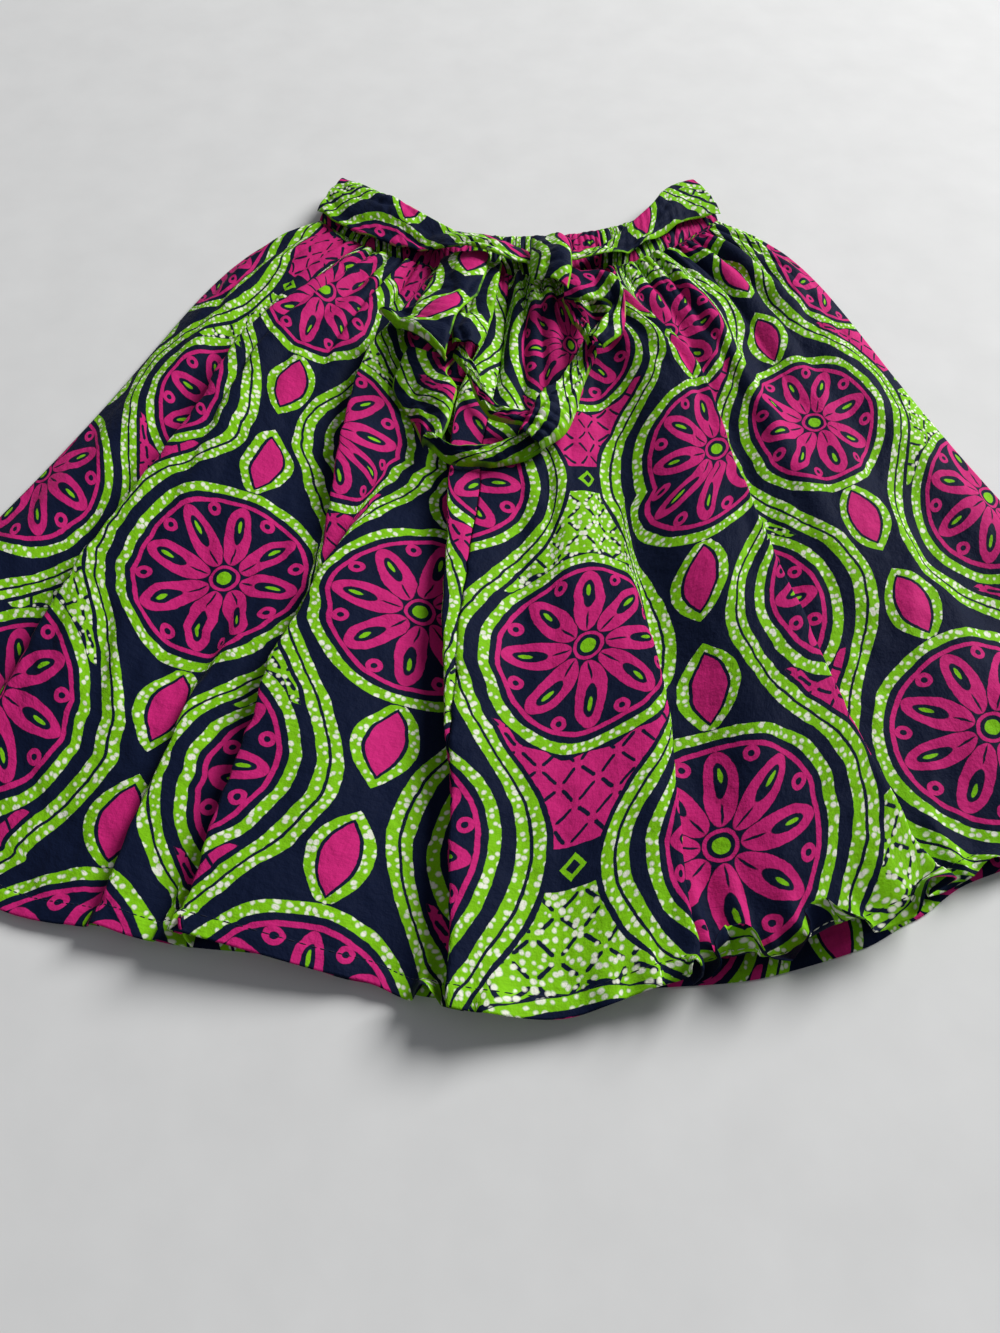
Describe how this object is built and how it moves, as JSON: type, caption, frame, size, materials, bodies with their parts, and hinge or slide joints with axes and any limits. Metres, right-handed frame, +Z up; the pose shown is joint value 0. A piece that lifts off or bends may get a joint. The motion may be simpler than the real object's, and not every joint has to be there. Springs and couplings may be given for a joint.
{
  "type": "gathered a-line skirt with tie sash, laid flat",
  "caption": "Printed cotton A-line skirt with an elastic waistband and a tie sash, laid flat with its front up and its side edges spread.",
  "frame": {"origin": "a point in the middle of the flat underside, on the surface that the skirt lies on", "axes": "+Z up from that surface, +Y towards the waist, +X towards the side that is on the right when the front is seen with the waist up"},
  "size_m": [0.8994, 0.7569, 0.0393],
  "materials": {
    "skirt_cotton": "printed cotton, soft sheen",
    "band_cotton": "printed cotton, ruched",
    "sash_cotton": "printed cotton, folded double"
  },
  "bodies": {
    "root": {"back": "skirt_cotton", "front_left": "skirt_cotton", "front_right": "skirt_cotton", "waistband_back": "band_cotton", "waistband_front": "band_cotton", "sash_left": "sash_cotton", "sash_right": "sash_cotton", "sash_knot": "sash_cotton", "loop_left": "sash_cotton", "loop_left_under": "sash_cotton", "loop_right": "sash_cotton", "loop_right_strand": "sash_cotton", "tail_left": "sash_cotton", "tail_right": "sash_cotton", "tail_turn": "sash_cotton", "tail_edge": "sash_cotton"}
  },
  "joints": []
}
